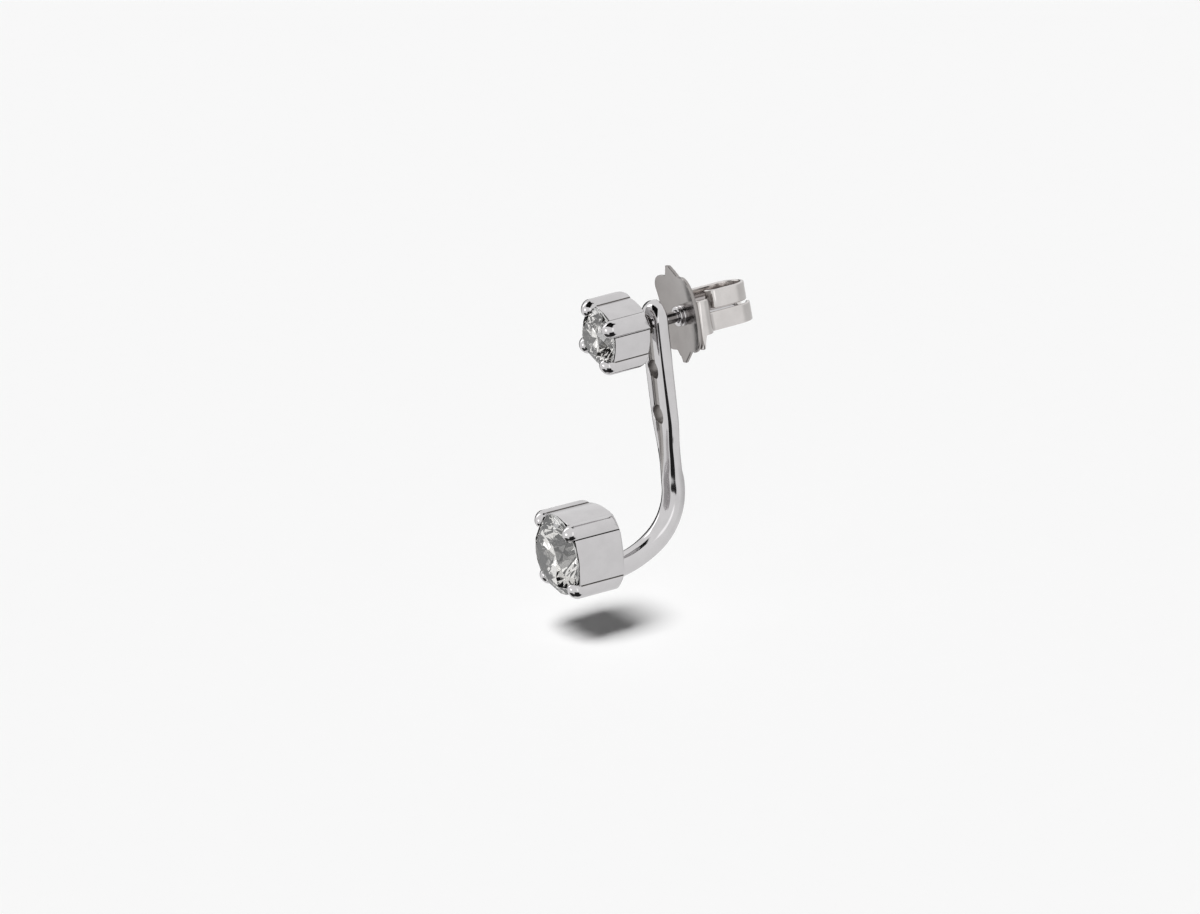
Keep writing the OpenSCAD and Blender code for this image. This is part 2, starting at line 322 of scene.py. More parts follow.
CREASE_SHADE_GOLD = shaded_cast_white_gold("white_gold_crease_painted_shade", "#4A4744", "#7A7673", 0.42)
# Painted shade: the inside gold darkens the collet's bearing, its well and the seats cut into the claws
INSIDE_SHADE_GOLD = shaded_cast_white_gold("white_gold_inside_painted_shade", "#46433F", "#75716C", 0.3)
# The drilled gold's roughness is the drill's own; its darker grey is painted shade inside the post holes
DRILLED_SHADE_GOLD = shaded_cast_white_gold("white_gold_drilled_painted_shade", "#8A8683", "#A9A5A3", 0.34)
# Painted shade: the milled gold is greyer to darken the bar's groove
GROOVE_SHADE_GOLD = milled_shaded_white_gold()
SETTING_GOLD = polished_white_gold("white_gold_settings", "#D3D1D2", "#CDCBCC", 0.09)
JACKET_GOLD = polished_white_gold("white_gold_jacket", "#D5D3D4", "#CFCDCE", 0.07)
POST_GOLD = polished_white_gold("white_gold_post", "#D3D1D2", "#CBC9CA", 0.08)
WING_GOLD = polished_white_gold("white_gold_clutch_wings", "#DCD8D6", "#D4D0CE", 0.09)
# Painted shade: the plate is the wings' polished gold made darker, so its front reads darker than the wings
PLATE_SHADE_GOLD = polished_white_gold("white_gold_clutch_plate_painted_shade", "#A6A2A0", "#9E9A98", 0.16)
DIAMOND = cut_diamond()
GIRDLE = bruted_diamond()


# Mesh helpers

MATERIAL_SLOTS = 3
# Steps of the searches for the place where two outlines meet
HALVINGS = 40


def smoothstep(share):
    """Eases a share from 0 to 1."""
    share = min(max(share, 0.0), 1.0)
    return share * share * (3 - 2 * share)


def arc(centre, radius, start, end, steps):
    """Points of an arc, both ends included. Angles in degrees."""
    angles = [radians(start + (end - start) * i / steps) for i in range(steps + 1)]
    return [(centre[0] + radius * cos(a), centre[1] + radius * sin(a)) for a in angles]


def skin_rings(mesh, rings, closed=True):
    """Adds rings of equally many points to a bmesh, joined by quads, and returns their vertices."""
    rows = [[mesh.verts.new(p) for p in ring] for ring in rings]
    count = len(rows[0])
    for upper, lower in zip(rows, rows[1:]):
        for i in range(count if closed else count - 1):
            j = (i + 1) % count
            mesh.faces.new((upper[i], upper[j], lower[j], lower[i]))
    return rows


def mark_faces(mesh, upper, lower, places, index=1):
    """Gives the quads at some places between two rings another of the piece's materials."""
    for i in places:
        j = (i + 1) % len(upper)
        face = mesh.faces.get((upper[i], upper[j], lower[j], lower[i]))
        if face:
            face.material_index = index


def cap_ring(mesh, row, centre):
    """Closes a ring of vertices with a fan round a centre point."""
    middle = mesh.verts.new(centre)
    for i, vertex in enumerate(row):
        mesh.faces.new((vertex, row[(i + 1) % len(row)], middle))


def lathe(mesh, profile, axis_point, sides=96):
    """Revolves a profile of (radius, y) points round the Y axis through axis_point."""
    x, z = axis_point
    return skin_rings(mesh, [
        [(x + r * cos(2 * pi * i / sides), y, z + r * sin(2 * pi * i / sides)) for i in range(sides)]
        for r, y in profile
    ])


def as_piece(mesh, name, place, body, materials, smooth=True):
    """Turns a bmesh in millimetres into a piece of the earring that rides on a body."""
    bmesh.ops.remove_doubles(mesh, verts=mesh.verts, dist=1e-5)
    bmesh.ops.recalc_face_normals(mesh, faces=mesh.faces)
    bmesh.ops.transform(mesh, matrix=Matrix.Scale(MM, 4) @ place, verts=mesh.verts)
    data = bpy.data.meshes.new(name)
    mesh.to_mesh(data)
    mesh.free()
    for material in materials:
        data.materials.append(material)
    data.polygons.foreach_set("use_smooth", [smooth] * len(data.polygons))
    piece = bpy.data.objects.new(name, data)
    bpy.context.scene.collection.objects.link(piece)
    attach(piece, body)
    return piece


def carved(mesh, tool):
    """Cuts a tool's closed shape out of a closed bmesh, and gives back what is left."""
    items = []
    for part in (mesh, tool):
        bmesh.ops.remove_doubles(part, verts=part.verts, dist=1e-5)
        bmesh.ops.recalc_face_normals(part, faces=part.faces)
        data = bpy.data.meshes.new("carving")
        part.to_mesh(data)
        part.free()
        # Empty slots: without enough of them, the cut gives every face the first material
        for _ in range(MATERIAL_SLOTS):
            data.materials.append(None)
        item = bpy.data.objects.new("carving", data)
        bpy.context.scene.collection.objects.link(item)
        items.append(item)
    cut = items[0].modifiers.new("carving", "BOOLEAN")
    cut.object = items[1]
    cut.operation = "DIFFERENCE"
    cut.solver = "EXACT"
    bpy.context.view_layer.update()
    data = bpy.data.meshes.new_from_object(items[0].evaluated_get(bpy.context.evaluated_depsgraph_get()))
    left = bmesh.new()
    left.from_mesh(data)
    bpy.data.meshes.remove(data)
    for item in items:
        data = item.data
        bpy.data.objects.remove(item)
        bpy.data.meshes.remove(data)
    return left


def add_parts(mesh, part):
    """Adds another bmesh's faces to a bmesh."""
    data = bpy.data.meshes.new("part")
    part.to_mesh(data)
    part.free()
    mesh.from_mesh(data)
    bpy.data.meshes.remove(data)


def keep_creases(piece, angle):
    """Keeps edges sharper than an angle crisp, and shades the rest smooth."""
    data = piece.data
    mesh = bmesh.new()
    mesh.from_mesh(data)
    for edge in mesh.edges:
        edge.smooth = edge.calc_face_angle(0.0) < angle
    mesh.to_mesh(data)
    mesh.free()


FACING_FRONT = Matrix.Rotation(radians(90), 4, "X")
STUD_PLACE = Matrix.Translation((0, -STUD_SPACE, 0)) @ Matrix.Rotation(STUD_ROLL, 4, "Y") @ FACING_FRONT
DROP_PLACE = (Matrix.Translation((0, -DROP_Y, -DROP_Z)) @ Matrix.Rotation(-DROP_TILT, 4, "X")
              @ FACING_FRONT)
CLUTCH_PLACE = Matrix.Translation((0, CLUTCH_Y, 0)) @ Matrix.Rotation(CLUTCH_ROLL, 4, "Y")
AS_MADE = Matrix.Identity(4)


# Stones

class Brilliant:
    """Radii and heights of a round brilliant, from the middle of its girdle."""

    def __init__(self, diameter):
        self.r = diameter / 2
        self.table_r = self.r * TABLE_SHARE
        self.table_h = GIRDLE_T / 2 + (self.r - self.table_r) * tan(CROWN_ANGLE)
        self.star_r = (self.table_r * cos(pi / 8) + self.r) / 2
        self.star_h = self.table_h - (self.star_r * cos(pi / 8) - self.table_r) * tan(CROWN_ANGLE)
        self.culet_h = -GIRDLE_T / 2 - self.r * tan(PAVILION_ANGLE)
        self.lower_r = LOWER_SHARE * self.r
        self.lower_h = self.culet_h + self.lower_r * cos(pi / 8) * tan(PAVILION_ANGLE)


def cut_facet(mesh, on_facet, outward):
    """Laps one facet: takes off what lies outside a plane, and closes the cut."""
    everything = mesh.verts[:] + mesh.edges[:] + mesh.faces[:]
    bmesh.ops.bisect_plane(mesh, geom=everything, dist=1e-6, plane_co=on_facet, plane_no=outward,
                           clear_outer=True)
    rim = [edge for edge in mesh.edges if edge.is_boundary]
    if rim:
        bmesh.ops.edgeloop_fill(mesh, edges=rim)


def brilliant_blank(mesh, stone):
    """The rough as it comes from bruting: a round drum, a little longer than the stone."""
    top, bottom = stone.table_h + ROUGH_SPARE, stone.culet_h - ROUGH_SPARE
    rings = [[(stone.r * cos(a), stone.r * sin(a), z) for a in
              [2 * pi * i / GIRDLE_SIDES for i in range(GIRDLE_SIDES)]] for z in (bottom, top)]
    for row in skin_rings(mesh, rings):
        mesh.faces.new(row)


def facet_through(mesh, a, b, c):
    """Laps the facet through three points, outward from the stone's axis."""
    a, b, c = Vector(a), Vector(b), Vector(c)
    outward = (b - a).cross(c - a).normalized()
    if outward.dot(a + b + c) < 0:
        outward.negate()
    cut_facet(mesh, a, outward)


def set_brilliant(name, node, diameter, depth, place, body):
    """A round brilliant with its 8 mains, 8 stars, 32 halves and 8 pavilion mains, and a frosted girdle."""
    stone = Brilliant(diameter)
    mesh = bmesh.new()
    brilliant_blank(mesh, stone)

    def at(radius, steps, height):
        angle = steps * pi / 8
        return radius * cos(angle), radius * sin(angle), height

    crown_edge, pavilion_edge = GIRDLE_T / 2, -GIRDLE_T / 2
    cut_facet(mesh, (0, 0, stone.table_h), (0, 0, 1))
    for k in range(0, 16, 2):
        crown_out = Vector(at(sin(CROWN_ANGLE), k, cos(CROWN_ANGLE)))
        pavilion_out = Vector(at(sin(PAVILION_ANGLE), k, -cos(PAVILION_ANGLE)))
        cut_facet(mesh, at(stone.r, k, crown_edge), crown_out)
        cut_facet(mesh, at(stone.r, k, pavilion_edge), pavilion_out)
    for k in range(0, 16, 2):
        star = at(stone.star_r, k + 1, stone.star_h)
        table_corners = [at(stone.table_r, side, stone.table_h) for side in (k, k + 2)]
        facet_through(mesh, *table_corners, star)
        lower = at(stone.lower_r, k + 1, stone.lower_h)
        for side in (k, k + 2):
            facet_through(mesh, star, at(stone.r, side, crown_edge), at(stone.r, k + 1, crown_edge))
            facet_through(mesh, lower, at(stone.r, side, pavilion_edge), at(stone.r, k + 1, pavilion_edge))
    # Only the girdle's faces stand upright
    for face in mesh.faces:
        face.material_index = 1 if abs(face.normal.z) < 0.05 else 0
    seated = place @ Matrix.Translation((0, 0, depth + GIRDLE_RISE))
    piece = as_piece(mesh, name, seated, body, [DIAMOND, GIRDLE], smooth=False)
    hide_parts(node)


# Settings

def tube_radius(angle, stone_d):
    """Distance from the collet's axis to its tube's wall, at an angle round the axis."""
    wall_r = WALL_CURVE_SHARE * stone_d
    shift = WALL_SHARE * stone_d - wall_r
    quarter = (angle + pi / 4) % (pi / 2) - pi / 4
    wall = shift * cos(quarter) + sqrt(wall_r ** 2 - (shift * sin(quarter)) ** 2)
    return min(wall, TUBE_SHARE * stone_d)


def back_limit(height, claws):
    """How far from the collet's axis its rounded back reaches at a height above the back."""
    corner_r = claws / sqrt(2) + PILLAR_R
    drop = max(BACK_ROUND_R - height, 0.0)
    return corner_r - BACK_ROUND_R + sqrt(max(BACK_ROUND_R ** 2 - drop ** 2, 0.0))


def crease_turn(stone_d, claws):
    """How far round a pillar, from its outermost line, it meets the tube."""
    reach = claws / sqrt(2)
    near, far = pi / 4, pi * 0.9
    for _ in range(HALVINGS):
        turn = (near + far) / 2
        x, y = reach + PILLAR_R * cos(turn), PILLAR_R * sin(turn)
        if hypot(x, y) > tube_radius(pi / 4 + atan2(y, x), stone_d):
            near = turn
        else:
            far = turn
    return near


def collet_section(stone_d, claws):
    """The collet's section as (angle, radius, kind): four pillars, four walls and a crease on each side."""
    pillar_steps, wall_steps = 12, 18
    reach = claws / sqrt(2)
    last = crease_turn(stone_d, claws)
    lip = last - CREASE_W / 2 / PILLAR_R
    half = []
    for i in range(pillar_steps + 1):
        turn = lip * i / pillar_steps
        x, y = reach + PILLAR_R * cos(turn), PILLAR_R * sin(turn)
        half.append((atan2(y, x), hypot(x, y), "pillar"))
    x, y = reach + PILLAR_R * cos(last), PILLAR_R * sin(last)
    half.append((atan2(y, x), hypot(x, y) - CREASE_DEPTH, "crease"))
    start = atan2(y, x) + CREASE_W / 2 / hypot(x, y)
    for i in range(wall_steps + 1):
        angle = start + (pi / 4 - start) * i / wall_steps
        half.append((angle, tube_radius(pi / 4 + angle, stone_d), "wall"))
    section = []
    for quarter in range(4):
        middle = pi / 4 + quarter * pi / 2
        section += [(middle - a, r, kind) for a, r, kind in reversed(half[1:-1])]
        section += [(middle + a, r, kind) for a, r, kind in half]
    return section


def collet_body(mesh, stone_d, claws, depth):
    """The tube with its pillars: a rounded back, a thin front rim, the bearing for the stone and the well."""
    stone = Brilliant(stone_d)
    section = collet_section(stone_d, claws)
    edge, lip = BACK_EDGE, RIM_EDGE
    depth += RIM_RAISE
    bearing_r = stone.r - (GIRDLE_RISE - RIM_RAISE - GIRDLE_T / 2) / tan(PAVILION_ANGLE) + SEAT_GAP
    well_r, well_z = WELL_SHARE * stone_d, BASE_SHARE * stone_d
    well_top = depth - (bearing_r - well_r) * tan(PAVILION_ANGLE)

    def outside(z):
        """The section at a height: softened at the back edge, and at the front rim between the pillars."""
        back = edge - sqrt(max(edge ** 2 - max(edge - z, 0.0) ** 2, 0.0))
        front = lip - sqrt(max(lip ** 2 - max(z - depth + lip, 0.0) ** 2, 0.0))
        ring = []
        for angle, radius, kind in section:
            radius -= back if kind == "pillar" else back + front
            radius = min(radius, back_limit(z, claws) - back * 0.3)
            ring.append((radius * cos(angle), radius * sin(angle), z))
        return ring

    def inside(radius, z):
        return [(radius * cos(angle), radius * sin(angle), z) for angle, _, _ in section]

    heights = [edge * (1 - cos(i * pi / 12)) for i in range(1, 7)]
    heights += [BACK_ROUND_R * (1 - cos(i * pi / 24)) for i in range(4, 13)] + [BACK_ROUND_R + 0.03]
    heights += [depth * share for share in (0.45, 0.7)] + [depth - lip - 0.02]
    heights += [depth - lip * (1 - sin(i * pi / 10)) for i in range(6)]
    floor_r = min(r for _, r, _ in section) - edge - 0.02
    rings = [inside(floor_r * 0.5, 0), inside(floor_r, 0)] + [outside(z) for z in heights]
    rings += [inside(bearing_r + lip * 0.5, depth), inside(bearing_r, depth - lip * 0.4)]
    rings += [inside(well_r, well_top), inside(well_r, well_z + WELL_CORNER)]
    rings.append(inside(well_r - WELL_CORNER, well_z))
    rows = skin_rings(mesh, rings)
    cap_ring(mesh, rows[0], (0, 0, 0))
    cap_ring(mesh, rows[-1], (0, 0, well_z))
    count = len(section)
    # The crease faces take the second material, the dark crease gold: painted shade along the creases
    creases = [i for i in range(count) if "crease" in (section[i][2], section[(i + 1) % count][2])]
    # The last five rings are the inside's, in the dark inside gold: painted shade in the bearing and the well
    for upper, lower in zip(rows[2:-6], rows[3:-5]):
        mark_faces(mesh, upper, lower, creases)
    for upper, lower in zip(rows[-5:-1], rows[-4:]):
        mark_faces(mesh, upper, lower, range(count), 2)
    for vertex in rows[-1]:
        for face in vertex.link_faces:
            face.material_index = 2


def claw(mesh, side_x, side_y, claws, depth, tip):
    """The top of one pillar, rounded over into a bead that leans onto the stone."""
    sides, steps = 72, 28
    x0, y0 = side_x * claws / 2, side_y * claws / 2
    lean_x, lean_y = -side_x / sqrt(2), -side_y / sqrt(2)
    top = depth + GIRDLE_RISE + tip
    profile = [(PILLAR_R, depth, 0.0)]
    profile += [(PILLAR_R * cos(t), top - PILLAR_R + PILLAR_R * sin(t), CLAW_LEAN * sin(t)) for t in
                [i * pi / 2 / steps for i in range(steps)]]
    turns = [2 * pi * i / sides for i in range(sides)]
    rings = []
    for r, z, lean in profile:
        x, y = x0 + lean_x * lean, y0 + lean_y * lean
        rings.append([(x + r * cos(a), y + r * sin(a), z) for a in turns])
    rows = skin_rings(mesh, rings)
    cap_ring(mesh, rows[-1], (x0 + lean_x * CLAW_LEAN, y0 + lean_y * CLAW_LEAN, top))
    cap_ring(mesh, rows[0], (x0, y0, depth))


def seat_tool(stone_d, depth):
    """The burr that cuts the stone's seat into the claws: the stone's own shape, a hair larger."""
    stone, gap = Brilliant(stone_d), SEAT_GAP
    profile = [(stone.lower_r + gap, stone.lower_h - gap), (stone.r + gap, -GIRDLE_T / 2 - gap),
               (stone.r + gap, GIRDLE_T / 2 + gap), (stone.star_r + gap, stone.star_h + gap),
               (stone.table_r + gap, stone.table_h + gap), (stone.table_r + gap, 2 * stone.table_h)]
    mesh = bmesh.new()
    rows = lathe(mesh, profile, (0, 0), sides=128)
    cap_ring(mesh, rows[0], (0, stone.culet_h - gap, 0))
    cap_ring(mesh, rows[-1], (0, 2 * stone.table_h, 0))
    # The seat's cut faces take the dark inside gold: painted shade where the claws hold the stone
    for face in mesh.faces:
        face.material_index = 2
    upright = Matrix.Translation((0, 0, depth + GIRDLE_RISE)) @ Matrix.Rotation(radians(90), 4, "X")
    bmesh.ops.transform(mesh, matrix=upright, verts=mesh.verts)
    return mesh


def ear_post(mesh):
    """The post, with its rounded tip and a little solder drawn up where it meets the setting."""
    # How far the solder stands out from the post, and how far it has crept along it
    solder = [(0.2, 0.0), (0.2, 0.02), (0.09, 0.06), (0.02, 0.15), (0.0, 0.25)]
    profile = [(0.0, -STUD_SPACE)] + [(POST_R + out, along - STUD_SPACE) for out, along in solder]
    profile += [(POST_R, y) for y in (1.0, 3.0, POST_REACH - POST_R - 0.1)]
    profile += [(POST_R * cos(a), POST_REACH - POST_R + POST_R * sin(a)) for a in
                [i * pi / 24 for i in range(13)]]
    lathe(mesh, profile, (0, 0), sides=72)


def claw_setting(mesh, stone_d, claws, depth, tip):
    """The whole collet, with its four claws and the seat that is cut into them."""
    collet_body(mesh, stone_d, claws, depth)
    tops = bmesh.new()
    for side_x in (-1, 1):
        for side_y in (-1, 1):
            claw(tops, side_x, side_y, claws, depth, tip)
    add_parts(mesh, carved(tops, seat_tool(stone_d, depth)))


def make_stud():
    """The stud's setting, its post and its stone."""
    mesh = bmesh.new()
    claw_setting(mesh, STUD_STONE_D, STUD_CLAWS, STUD_DEPTH, STUD_CLAW_TIP)
    setting = as_piece(mesh, "stud_collet", STUD_PLACE, "stud",
                       [SETTING_GOLD, CREASE_SHADE_GOLD, INSIDE_SHADE_GOLD])
    keep_creases(setting, radians(40))
    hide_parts("stud_setting")
    mesh = bmesh.new()
    ear_post(mesh)
    post = as_piece(mesh, "stud_post", AS_MADE, "stud", [POST_GOLD])
    keep_creases(post, radians(50))
    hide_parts("stud_setting")
    set_brilliant("stud_brilliant", "stud_diamond", STUD_STONE_D, STUD_DEPTH, STUD_PLACE, "stud")


# Jacket

def bar_half_section(width, groove_w, groove_t, front_r=TOP_EDGE_R):
    """Right half of the bar's section, from the middle of its front to the middle of its back. A strip as
    wide as near lies beside each rounding, so that the flats stay flat where the shading is smooth."""
    lip = min(GROOVE_LIP_R, groove_t / 2)
    wall = groove_w / 2
    side = width / 2
    near = 0.02
    front_r = min(front_r, side - wall - GROOVE_LIP_R - 2 * near)
    points = [(0, groove_t), (max(wall - lip - near, 0.001), groove_t)]
    points += arc((wall - lip, groove_t - lip), lip, 90, 0, 3)
    points += arc((wall + lip, lip), lip, 180, 270, 3)
    points += [(wall + GROOVE_LIP_R + near, 0), (side - front_r - near, 0)]
    points += arc((side - front_r, front_r), front_r, 270, 360, 14)
    points += arc((side - BACK_EDGE_R, BAR_T - BACK_EDGE_R), BACK_EDGE_R, 0, 90, 6)
    points += [(side - BACK_EDGE_R - near, BAR_T), (0, BAR_T)]
    return points


def whole_section(half):
    """Mirrors the half section into a closed one."""
    return half + [(-x, y) for x, y in half[-2:0:-1]]


def rounded(section, radius, share):
    """Turns a section towards a circle of the rod, point by point at the same angle round the middle."""
    out = []
    for x, y in section:
        turn = atan2(x, BAR_T / 2 - y)
        round_x, round_y = radius * sin(turn), ROD_Y - radius * cos(turn)
        out.append((x + (round_x - x) * share, y + (round_y - y) * share))
    return out


def bar_width_at(z):
    """The bar's width: even along the holes, then drawn in towards the neck."""
    share = (-BAR_STRAIGHT + NECK_EASE - z) / (BAR_DROP - BAR_STRAIGHT + 2 * NECK_EASE)
    return BAR_W + (NECK_W - BAR_W) * smoothstep(share)


def front_edge_at(z):
    """The rounding of the bar's front edges, which grows towards the round rod."""
    share = (-EDGE_START - z) / (BAR_DROP - EDGE_START)
    return TOP_EDGE_R + (NECK_EDGE_R - TOP_EDGE_R) * smoothstep(share)


def groove_at(z):
    """Width and depth of the groove: full between the holes, then narrowing to a point in the neck."""
    last_hole = -2 * HOLE_PITCH - HOLE_D
    point = BEND_Z + ROD_R
    share = min(max((last_hole - z) / (last_hole - point), 0.0), 1.0)
    return GROOVE_W * (1 - share) + GROOVE_END_W, GROOVE_T * (1 - share ** 3)


def bar_and_rod(mesh):
    """The bar's round top, its flat length with the groove, the neck, and the rod's two bends."""
    shoulder = BAR_TOP - BAR_W / 2
    plain = bar_half_section(BAR_W, GROOVE_W, 0.0)
    top_steps, steps, bend_steps, sweep_steps = 72, 120, 40, 36
    rings = []
    for i in range(top_steps + 1):
        turn = pi * i / top_steps
        bull = TOP_EDGE_R + (CROWN_EDGE_R - TOP_EDGE_R) * smoothstep(sin(turn) * 1.4)
        rings.append([(x * cos(turn), y, shoulder + x * sin(turn))
                      for x, y in bar_half_section(BAR_W, GROOVE_W, 0.0, bull)])
    skin_rings(mesh, rings, closed=False)

    stations = [[(x, y, shoulder) for x, y in whole_section(plain)]]
    start = shoulder - 0.02
    for i in range(steps + 1):
        z = start + (BEND_Z - start) * i / steps
        groove_w, groove_t = groove_at(z)
        section = whole_section(bar_half_section(bar_width_at(z), groove_w, groove_t, front_edge_at(z)))
        share = smoothstep((ROUNDING_Z - z) / (ROUNDING_Z - BEND_Z))
        radius = ROD_R - NECK_PINCH * smoothstep((z - BEND_Z) / PINCH_L)
        stations.append([(x, y, z) for x, y in rounded(section, radius, share)])
    end_w, end_t = groove_at(BEND_Z)
    rod = whole_section(bar_half_section(NECK_W, end_w, end_t, NECK_EDGE_R))

    def bent(centre, bend_r, turn, radius):
        """The rod's section, turned so that its back faces away from the bend's centre."""
        out = []
        for x, y in rounded(rod, radius, 1.0):
            reach = bend_r + y - ROD_Y
            out.append((x, centre[0] + reach * sin(turn), centre[1] - reach * cos(turn)))
        return out

    bend = (ROD_Y - BEND_R, BEND_Z)
    for i in range(1, bend_steps + 1):
        stations.append(bent(bend, BEND_R, pi / 2 + (BEND_END - pi / 2) * i / bend_steps, ROD_R))
    sweep = (bend[0] + (BEND_R - SWEEP_R) * sin(BEND_END), bend[1] - (BEND_R - SWEEP_R) * cos(BEND_END))
    for i in range(1, sweep_steps + 1):
        radius = ROD_R + (ROD_END_R - ROD_R) * i / sweep_steps
        stations.append(bent(sweep, SWEEP_R, BEND_END + (SWEEP_END - BEND_END) * i / sweep_steps, radius))
    rows = skin_rings(mesh, stations)
    count = len(rows[0])
    # The first and last five faces of the section are the groove's floor, with the rounding at its foot, in
    # the milled gold with its painted shade
    for upper, lower in zip(rows[1:steps], rows[2:steps + 1]):
        if upper[0].co.z > BEND_Z + ROD_R:
            mark_faces(mesh, upper, lower, list(range(5)) + list(range(count - 5, count)), 2)
    end = stations[-1]
    cap_ring(mesh, rows[-1], [sum(p[axis] for p in end) / len(end) for axis in range(3)])


def post_hole_drills():
    """The drills for the three post holes, flared so that each leaves a softened rim at both faces."""
    mesh = bmesh.new()
    profile = [(HOLE_D / 2 + HOLE_RIM_R, -0.5)]
    profile += [(HOLE_D / 2 + HOLE_RIM_R * (1 - sin(a)), HOLE_RIM_R * (1 - cos(a))) for a in
                [i * pi / 10 for i in range(6)]]
    profile += [(r, BAR_T - y) for r, y in reversed(profile)]
    for i in range(3):
        rows = lathe(mesh, profile, (0, -i * HOLE_PITCH))
        for row in (0, -1):
            cap_ring(mesh, rows[row], (0, profile[row][1], -i * HOLE_PITCH))
        # The straight wall between the two flares, in the drilled gold: a dull drilled skin whose darker grey
        # is painted shade inside the hole
        mark_faces(mesh, rows[6], rows[7], range(len(rows[6])))
    return mesh


def make_jacket():
    """The jacket's bar and rod, the setting on the rod's end and its stone."""
    mesh = bmesh.new()
    bar_and_rod(mesh)
    bar = as_piece(carved(mesh, post_hole_drills()), "jacket_bar", AS_MADE, "jacket",
                   [JACKET_GOLD, DRILLED_SHADE_GOLD, GROOVE_SHADE_GOLD])
    keep_creases(bar, radians(38))
    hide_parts("jacket")
    mesh = bmesh.new()
    claw_setting(mesh, DROP_STONE_D, DROP_CLAWS, DROP_DEPTH, DROP_CLAW_TIP)
    setting = as_piece(mesh, "drop_collet", DROP_PLACE, "jacket",
                       [SETTING_GOLD, CREASE_SHADE_GOLD, INSIDE_SHADE_GOLD])
    keep_creases(setting, radians(40))
    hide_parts("jacket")
    set_brilliant("drop_brilliant", "drop_diamond", DROP_STONE_D, DROP_DEPTH, DROP_PLACE, "jacket")


# Clutch

def plate_distance(x, z):
    """Signed distance to the clutch plate's outline: a rounded body with a pointed tip above and below."""
    z -= PLATE_RISE
    out_x = abs(x) - PLATE_HALF_W + PLATE_CORNER_R
    out_z = abs(z) - PLATE_HALF_H + PLATE_CORNER_R
    body = hypot(max(out_x, 0), max(out_z, 0)) + min(max(out_x, out_z), 0) - PLATE_CORNER_R
    rise = TIP_HALF_H - TIP_R - PLATE_HALF_H
    lean = atan2(TIP_BASE - TIP_R, rise + TIP_R)
    flank = (abs(x) - TIP_R) * cos(lean) + (abs(z) - TIP_HALF_H + TIP_R) * sin(lean) - TIP_R * (1 - cos(lean))
    tip = max(flank, abs(z) - TIP_HALF_H, abs(x) - TIP_BASE - TIP_FILLET)
    blend = max(TIP_FILLET - abs(body - tip), 0.0) / TIP_FILLET
    shape = min(body, tip) - blend * blend * TIP_FILLET / 4
    if x < 0 and z < 0:
        trim_x, trim_z = TRIM_END[0] - TRIM_START[0], TRIM_END[1] - TRIM_START[1]
        trim = ((z - TRIM_START[1]) * trim_x - (x - TRIM_START[0]) * trim_z) / hypot(trim_x, trim_z)
        shape = min(shape, max(-trim, -x - PLATE_HALF_W, -z - TIP_HALF_H + TIP_R))
    return shape


def plate_reach(angle):
    """How far the plate's outline lies from the post in a direction: between 1 and 4 mm."""
    near, far = 1.0, 4.0
    for _ in range(HALVINGS):
        middle = (near + far) / 2
        if plate_distance(middle * cos(angle), middle * sin(angle)) < 0:
            near = middle
        else:
            far = middle
    return near


def dish(radius):
    """How far the plate's front stands forward at a distance from the post."""
    return sqrt(DISH_R ** 2 - radius ** 2) - DISH_R


def clutch_plate(mesh):
    """The stamped plate, dished towards the front, with the burr of its edges tumbled off."""
    sides = 360
    reach = [plate_reach(2 * pi * i / sides) for i in range(sides)]
    start = COLLAR_BORE_R + 0.05

    def ring(inset, depth, share=1.0):
        out = []
        for i in range(sides):
            angle = 2 * pi * i / sides
            radius = start + (reach[i] - inset - start) * share
            out.append((radius * cos(angle), dish(radius) + depth, radius * sin(angle)))
        return out

    shares = [i / 14 for i in range(15)]
    turns = [i * pi / 10 for i in range(6)]
    rings = [ring(SHEET_EDGE_R + 0.02, 0, share) for share in shares]
    rings += [ring(SHEET_EDGE_R * (1 - sin(t)), SHEET_EDGE_R * (1 - cos(t))) for t in turns]
    rings += [ring(SHEET_EDGE_R * (1 - cos(t)), SHEET_T - SHEET_EDGE_R * (1 - sin(t))) for t in turns]
    rings += [ring(SHEET_EDGE_R + 0.02, SHEET_T, share) for share in reversed(shares)]
    skin_rings(mesh, rings + rings[:1])


def clutch_collar(mesh):
    """The collar drawn up from the plate: a rolled foot, a waist and a rolled rim round the bore."""
    foot = [(COLLAR_FOOT_R, 0.03), (COLLAR_FOOT_R - 0.05, -0.005)]
    foot += arc((COLLAR_R - 0.07, -0.09), 0.08, 50, -70, 10)
    lip = (COLLAR_R - COLLAR_BORE_R) / 3
    centre = (COLLAR_R - lip, -COLLAR_L + lip)
    neck = [(COLLAR_WAIST_R + 0.02, -0.195), (COLLAR_WAIST_R, -0.22), (COLLAR_WAIST_R + 0.02, -0.25)]
    rim = arc(centre, lip, 60, -90, 10)
    mouth = arc((COLLAR_BORE_R + lip, -COLLAR_L + lip), lip, -90, -180, 6)
    bore = [(COLLAR_BORE_R, 0.0), (COLLAR_BORE_R, SHEET_T), (COLLAR_BORE_R + 0.04, SHEET_T + 0.02),
            (COLLAR_FOOT_R - 0.1, SHEET_T + 0.01)]
    rows = lathe(mesh, foot + neck + rim + mouth + bore, (0, 0))
    for upper, lower in zip(rows, rows[1:]):
        mark_faces(mesh, upper, lower, range(len(upper)))


